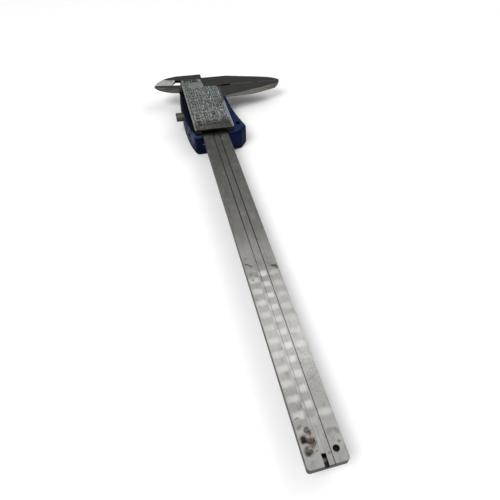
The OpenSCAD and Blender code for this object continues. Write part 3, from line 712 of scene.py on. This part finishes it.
# How far the casing's wall stands out at each height: barrel-shaped, with rounded rims
WALL_PROFILE = ((0, -0.55), (0.15, -0.32), (0.4, -0.12), (0.8, 0), (1.6, 0.1), (3, 0.2), (5, 0.34),
                (7, 0.42), (9, 0.36), (10.5, 0.18), (11.4, -0.02), (12.1, -0.25), (12.5, -0.42),
                (12.75, -0.6), (12.9, -0.78), (13, -1.0))
OUTLINE_HEIGHT = 6.5  # the wall's outline has neither rim nor step here
CASING_HALF, END_FADE = 30.5, 12.0  # half the length, and how far the bulge fades at the ends
KNOB_FLAT, KNOB_FADE = 3.0, 4.0  # flat this far from the knob's axis, then the bulge comes back


def loop_area(loop):
    """Area inside a loop of points in plan, negative where it runs clockwise."""
    return sum(a.x * b.y - b.x * a.y for a, b in zip(loop, loop[1:] + loop[:1])) / 2


def outer_loop(work, height):
    """The casing's outer outline at that height in millimetres, as points in order."""
    cut = work.copy()
    found = sliced(cut, (0, 0, height * MM), UP)
    edges = dict.fromkeys(item for item in found if isinstance(item, bmesh.types.BMEdge))
    loops = []
    while edges:
        edge, _ = edges.popitem()
        start, here = edge.verts
        loop = [start.co.copy(), here.co.copy()]
        while here != start:
            following = next((e for e in here.link_edges if e in edges), None)
            if following is None:
                break
            edges.pop(following)
            here = following.other_vert(here)
            loop.append(here.co.copy())
        loops.append(loop[:-1])
    cut.free()
    best = max(loops, key=lambda loop: abs(loop_area(loop)))
    return best if loop_area(best) > 0 else best[::-1]


def outward(outline):
    """The outline's outward direction at each of its points."""
    directions = []
    for before, here, after in zip(outline[-1:] + outline[:-1], outline, outline[1:] + outline[:1]):
        a, b = (here - before).normalized(), (after - here).normalized()
        both = Vector((a.y + b.y, -a.x - b.x, 0))
        directions.append(both.normalized() if both.length > 1e-6 else Vector((a.y, -a.x, 0)))
    return directions


def nearest(outline, point):
    """The outline's segment that a point lies on in plan, and how far along it, or None."""
    best, away = None, 0.01 * MM
    for i, a in enumerate(outline):
        step = (outline[(i + 1) % len(outline)] - a).xy
        t = max(0.0, min(1.0, (point.xy - a.xy).dot(step) / step.length_squared))
        distance = (point.xy - a.xy - step * t).length
        if distance < away:
            away, best = distance, (i, t)
    return best


def wall_stands(place, direction):
    """How far the wall stands out at a place, in millimetres."""
    y, height = place.y / MM, place.z / MM
    reach = WALL_PROFILE[-1][1]
    for (z0, d0), (z1, d1) in zip(WALL_PROFILE, WALL_PROFILE[1:]):
        if height <= z1:
            reach = d0 + (d1 - d0) * max(0.0, height - z0) / (z1 - z0)
            break
    if reach <= 0:
        return reach
    # the bulge is on the left and fades towards both ends and round the knob
    on_left = direction.x < -0.3
    reach *= (1.0 if on_left else 0.25) * max(0.15, min(1.0, (CASING_HALF - abs(y)) / END_FADE))
    if on_left:
        off = math.hypot(y - KNOB_MIDDLE.y, height - KNOB_MIDDLE.z)
        reach *= max(0.0, min(1.0, (off - KNOB_FLAT) / KNOB_FADE))
    return reach


def casing():
    """The casing with barrel-shaped sides and rounded rims, bulging as the moulding does."""
    work = clean_copy("casing_shell")
    outline = outer_loop(work, OUTLINE_HEIGHT)
    directions = outward(outline)
    for height, _ in WALL_PROFILE[1:-1]:
        sliced(work, (0, 0, height * MM), UP)
    for vert in work.verts:
        found = nearest(outline, vert.co)
        if found:
            i, t = found
            direction = directions[i].lerp(directions[(i + 1) % len(outline)], t).normalized()
            vert.co += direction * wall_stands(vert.co, direction) * MM
    dressed("casing_shell", "slider", "navy_plastic", navy_plastic, 0, work=work)


# Towards its tip, the rod's left seam all but closes in the photograph
SEAM_START, SEAM_CLOSING = -170.0, 0.19


def depth_rod():
    """The depth rod, a little wider on its left past the start of the closing seam."""
    work = clean_copy("depth_rod")
    for vert in work.verts:
        on_left = vert.co.x < (ROD_LOW.x + 0.1) * MM
        if on_left and vert.co.y < SEAM_START * MM:
            vert.co.x -= SEAM_CLOSING * MM
    dressed("depth_rod", "slider", "ground_steel", rod_steel, 0.05, work=work)


# Pieces in place of CAD solids

PLATE_CORNER, LABEL_CORNER = 1.3, 1.5

casing()
two_steels("main_beam", "beam", 0.12, HEAD_START, beam_steel, jaw_steel)
two_steels("slider_frame", "slider", 0.2, REAR_START, shadow_steel, slider_steel)
dressed("back_plate", "slider", "plate_steel", plate_steel, 0.22,
        work=rear_rounded("back_plate", PLATE_CORNER))
depth_rod()
dressed("lock_screw", "lock_knob", "ground_steel", knob_steel, 0.12)
dressed("front_cover", "slider", "dark_plastic", dark_plastic, 0.18)
dressed("cell_cover", "cell_door", "dark_plastic", dark_plastic, 0.12)
dressed("back_label", "slider", "label", label_silver, 0,
        work=rear_rounded("back_label", LABEL_CORNER))
dressed("head_label", "beam", "label", header_silver, 0.05)
dressed("button_power", "power_button", "red_button", red_button, 0.25, segments=3)
dressed("button_zero", "zero_button", "yellow_button", yellow_button, 0.25, segments=3)
dressed("button_unit", "unit_button", "grey_button", grey_button, 0.25, segments=3)

# CAD solids that show as they are
PLAIN_NODES = (
    (scale_green, ("scale_board",)),
    (scale_film, ("scale_cover",)),
    (screw_steel, ("plate_screws", "rod_screw", "board_screws")),
    (black_steel, ("stop_screw", "hook_screw", "gib_screws")),
    (brass, ("gib_strip", "lock_pad")),
    (shadow_steel, ("back_guides",)),
    (window_clear, ("lcd_window",)),
    (display, ("lcd_glass",)),
    (rubber, ("contact_rubbers",)),
    (board_green, ("circuit_board",)),
    (black_resin, ("processor",)),
    (plated_steel, ("switches", "cell", "cell_contacts")),
)
for material, names in PLAIN_NODES:
    for name in names:
        nodes[name].data.materials.clear()
        nodes[name].data.materials.append(material)


# Print

def print_mesh(name, items, to_model, material, bold=0.012):
    """Words as one flat mesh. An item is (text, x, y, size, width factor), where x and y are its
    middle in millimetres on the printed face. The matrix carries that face's plane into the model.
    Bold widens the strokes."""
    work = bmesh.new()
    for text, x, y, size, wide in items:
        curve = bpy.data.curves.new("text", "FONT")
        curve.body = text
        curve.size = size * MM
        curve.align_x = "CENTER"
        curve.align_y = "CENTER"
        curve.resolution_u = 2
        curve.offset = bold * size * MM
        holder = bpy.data.objects.new("text", curve)
        scene.collection.objects.link(holder)
        mesh = baked_mesh(holder)
        moved = Matrix.Translation((x * MM, y * MM, 0))
        mesh.transform(to_model @ moved @ Matrix.Diagonal((wide, 1, 1, 1)))
        work.from_mesh(mesh)
        bpy.data.meshes.remove(mesh)
        bpy.data.objects.remove(holder)
        bpy.data.curves.remove(curve)
    mesh = bpy.data.meshes.new(name)
    work.to_mesh(mesh)
    work.free()
    return link(name, mesh, material)


def add_bars(piece, bars, to_model):
    """Adds flat rectangles (x0, y0, x1, y1) in millimetres to a printed mesh."""
    work = bmesh.new()
    work.from_mesh(piece.data)
    for x0, y0, x1, y1 in bars:
        corners = ((x0, y0), (x1, y0), (x1, y1), (x0, y1))
        work.faces.new([work.verts.new(to_model @ Vector((x * MM, y * MM, 0))) for x, y in corners])
    work.to_mesh(piece.data)
    work.free()


# Print on the back

BACK_LIFT = 0.012 * MM
COLUMN, ROW, LEFT_LINE = 5.25, 3.75, -10.7
TITLE_BAND, HALF_LINE = 2.0, 0.16
# Size and width factor of the words
TITLE_TEXT, CELL_TEXT, RANGE_TEXT, HEAD_TEXT = (2.2, 0.6), (4.1, 0.5), (2.2, 0.55), (5.2, 0.74)
# Thread sizes with their drills
DRILLS = (("M3", "2.5"), ("M4", "3.3"), ("M5", "4.2"), ("M6", "5.0"), ("M8", "6.8"), ("M10", "8.5"),
          ("M12", "10.2"), ("M16", "14.0"))


def inch_fractions():
    """Sixteenths of an inch with their millimetres."""
    cells = []
    for part in range(1, 17):
        shared = math.gcd(part, 16)
        fraction = f"{part // shared}/{16 // shared}" if part < 16 else "1"
        cells.append((fraction, f"{part * 25.4 / 16:.3f}"[:4]))
    return cells


def back_plane(node):
    """The plane just above the top of a solid."""
    return Matrix.Translation((0, 0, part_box(node)[1].z + BACK_LIFT))


def table_block(cells, top, titles):
    """Words and lines of a block: a title row, and the cells in two pairs of columns."""
    items, bars = [], []
    rows = len(cells) // 2
    for column in range(4):
        middle = LEFT_LINE + (column + 0.5) * COLUMN
        items.append((titles[column % 2], middle, top - 0.9, *TITLE_TEXT))
        for row in range(rows):
            text = cells[row + (column // 2) * rows][column % 2]
            items.append((text, middle + 0.1, top - TITLE_BAND - 1.8 - row * ROW, *CELL_TEXT))
    for column in range(5):
        x = LEFT_LINE + column * COLUMN
        bars.append((x - HALF_LINE, top - TITLE_BAND - rows * ROW, x + HALF_LINE, top))
    bars.append((LEFT_LINE, top - TITLE_BAND, LEFT_LINE + 4 * COLUMN, top - TITLE_BAND + 0.15))
    return items, bars


def back_table():
    """The conversion table: inch fractions, tapping drills and the caliper's range."""
    inch_items, inch_bars = table_block(inch_fractions(), 25.9, ("INCH", "mm"))
    drill_items, drill_bars = table_block(DRILLS, -7.0, ("TAP", "mm"))
    ranges = [("0-200", -9.3, 30.0, *RANGE_TEXT), ("0-8 in", -9.3, 27.6, *RANGE_TEXT)]
    back = back_plane("back_label")
    table = print_mesh("label_print", inch_items + drill_items + ranges, back, ink_dark, bold=0.03)
    add_bars(table, inch_bars + drill_bars, back)
    put(table, "slider", "label")


def head_print():
    """The word on the head's small plate."""
    word = [("STEEL", -5.3, 35.6, *HEAD_TEXT)]
    put(print_mesh("header_print", word, back_plane("head_label"), ink_dark, bold=0.05), "beam", "label")


back_table()
head_print()


# Print on the front, where text runs towards the beam's end and its top points to the left

FRONT_LIFT = 0.008 * MM
SCALE_ZERO, SCALE_EDGE, HALF_TICK = 27.0, 5.1, 0.06
DIGIT_WIDE, DIGIT_TALL, STROKE = 3.6, 6.4, 0.75
DIGIT_STARTS, DOT_START, UNIT_MIDDLE = (9.0, 14.6, 19.2), 13.2, 25.6
# Size and width factor of the words
SMALL_TEXT, UNIT_TEXT = (1.7, 1.0), (2.6, 1.0)


def front_plane(z):
    """The plane just below a downward face at that height."""
    turn = Matrix(((0, -1, 0, 0), (-1, 0, 0, 0), (0, 0, -1, 0), (0, 0, 0, 1)))
    return Matrix.Translation((0, 0, z - FRONT_LIFT)) @ turn


def ticks(count, pitch, side, lengths):
    """Scale lines inwards from the edge on that side: lengths of each, each fifth and each tenth."""
    bars = []
    for i in range(count):
        x = SCALE_ZERO + i * pitch
        length = lengths[0] if i % 5 else lengths[1] if i % 10 else lengths[2]
        low, high = sorted((side * SCALE_EDGE, side * (SCALE_EDGE - length)))
        bars.append((x - HALF_TICK, low, x + HALF_TICK, high))
    return bars


def front_scale():
    """Graduations in millimetres and in tenths of an inch on the beam's front."""
    film = front_plane(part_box("scale_cover")[0].z)
    numbers = [(str(i), SCALE_ZERO + i * 10, 1.2, *SMALL_TEXT) for i in range(21)]
    numbers += [(str(i), SCALE_ZERO + i * 25.4, -1.4, *SMALL_TEXT) for i in range(8)]
    graduations = print_mesh("scale_print", numbers, film, ink_light)
    add_bars(graduations, ticks(201, 1, 1, (1.6, 2.3, 3.0)), film)
    add_bars(graduations, ticks(80, 2.54, -1, (1.4, 2.0, 2.8)), film)
    put(graduations, "beam", "scale_print")


def button_legends():
    """Words beside the three buttons."""
    words = (("mm/in", -16.2), ("ZERO", -7.2), ("ON/OFF", 1.8))
    items = [(text, x, -11.6, *SMALL_TEXT) for text, x in words]
    put(print_mesh("button_print", items, front_plane(0), ink_light), "slider", "dark_plastic")


def zero_digit(x, y):
    """A seven-segment 0 with its lower left corner at x, y."""
    right, top, half = x + DIGIT_WIDE - STROKE, y + DIGIT_TALL, y + DIGIT_TALL / 2
    bars = [(x + STROKE, y, right, y + STROKE), (x + STROKE, top - STROKE, right, top)]
    for side in (x, right):
        bars.append((side, y + STROKE / 3, side + STROKE, half - 0.15))
        bars.append((side, half, side + STROKE, top - STROKE / 3))
    return bars


def reading():
    """The display's 0.00 mm."""
    low, high = box_mm("lcd_glass")
    glass = front_plane(low.z * MM)
    start, middle = -high.y, -(low.x + high.x) / 2
    base = middle - DIGIT_TALL / 2
    unit = [("mm", start + UNIT_MIDDLE, middle - 2.2, *UNIT_TEXT)]
    shown = print_mesh("display_print", unit, glass, ink_dark)
    bars = [(start + DOT_START, base, start + DOT_START + STROKE, base + STROKE)]
    for place in DIGIT_STARTS:
        bars += zero_digit(start + place, base)
    add_bars(shown, bars, glass)
    put(shown, "slider", "display")


front_scale()
button_legends()
reading()


# Floor, light and camera

FLOOR_HALF, FLOOR_HEIGHT = 3.0, -0.0002
# The white surroundings, as light and where they are seen
LIGHT_STRENGTH, SEEN_STRENGTH = 0.62, 1.0
LAMP_AIM = Vector((0, -0.1, 0))
# The camera that was solved from the photograph's straight edges
CAMERA_PLACE = (-0.036803, -0.286547, 0.173962)
CAMERA_TURN = (39.84985, -2.66190, -16.36207)
CAMERA_LENS = 32.7205
CAMERA_SHIFT = (-0.072, 0.07)


def pale_floor():
    """A pale floor that is no part of the object."""
    corners = [(x * FLOOR_HALF, y * FLOOR_HALF, 0) for x, y in ((-1, -1), (1, -1), (1, 1), (-1, 1))]
    mesh = bpy.data.meshes.new("floor")
    mesh.from_pydata(corners, [], [(0, 1, 2, 3)])
    floor = link("floor", mesh)
    floor.location.z = FLOOR_HEIGHT
    pale = Paint("pale_floor", roughness=0.9, Specular_IOR_Level=0.0)
    grain = pale.noise(90, 90, 90, 3, 0.5)
    pale.set("Base Color", pale.mix(grain, (0.9, 0.9, 0.9), (0.93, 0.93, 0.93)))
    floor.data.materials.append(pale.material)


def surroundings():
    """White all round: full where it is seen, mirrored or seen through, and weaker as light."""
    world = scene.world or bpy.data.worlds.new("world")
    scene.world = world
    world.use_nodes = True
    tree = world.node_tree
    tree.nodes.clear()
    path = tree.nodes.new("ShaderNodeLightPath")
    seen = path.outputs["Is Camera Ray"]
    for ray in ("Is Glossy Ray", "Is Transmission Ray"):
        either = tree.nodes.new("ShaderNodeMath")
        either.operation = "MAXIMUM"
        tree.links.new(seen, either.inputs[0])
        tree.links.new(path.outputs[ray], either.inputs[1])
        seen = either.outputs[0]
    blend = tree.nodes.new("ShaderNodeMixShader")
    tree.links.new(seen, blend.inputs[0])
    for socket, strength in ((1, LIGHT_STRENGTH), (2, SEEN_STRENGTH)):
        white = tree.nodes.new("ShaderNodeBackground")
        white.inputs["Color"].default_value = (1, 1, 1, 1)
        white.inputs["Strength"].default_value = strength
        tree.links.new(white.outputs[0], blend.inputs[socket])
    out = tree.nodes.new("ShaderNodeOutputWorld")
    tree.links.new(blend.outputs[0], out.inputs[0])


def lamp(name, place, wide, watts):
    """A round lamp aimed at the middle of the caliper."""
    data = bpy.data.lights.new(name, "AREA")
    data.shape = "DISK"
    data.size = wide
    data.energy = watts
    light = bpy.data.objects.new(name, data)
    scene.collection.objects.link(light)
    light.location = place
    light.rotation_euler = (LAMP_AIM - Vector(place)).to_track_quat("-Z", "Y").to_euler()


def add_camera():
    """The camera that sees the caliper as the photograph does."""
    data = bpy.data.cameras.new("camera")
    data.sensor_width = 36
    data.lens = CAMERA_LENS
    data.shift_x, data.shift_y = CAMERA_SHIFT
    data.clip_start = 0.01
    data.clip_end = 20
    camera = bpy.data.objects.new("camera", data)
    camera.location = CAMERA_PLACE
    camera.rotation_euler = [math.radians(angle) for angle in CAMERA_TURN]
    scene.collection.objects.link(camera)
    scene.camera = camera


pale_floor()
surroundings()
lamp("key", (-0.5, -0.5, 0.9), 0.6, 7.0)
lamp("fill", (0.7, 0.2, 0.8), 0.8, 3.0)
add_camera()
scene.view_settings.view_transform = "Standard"
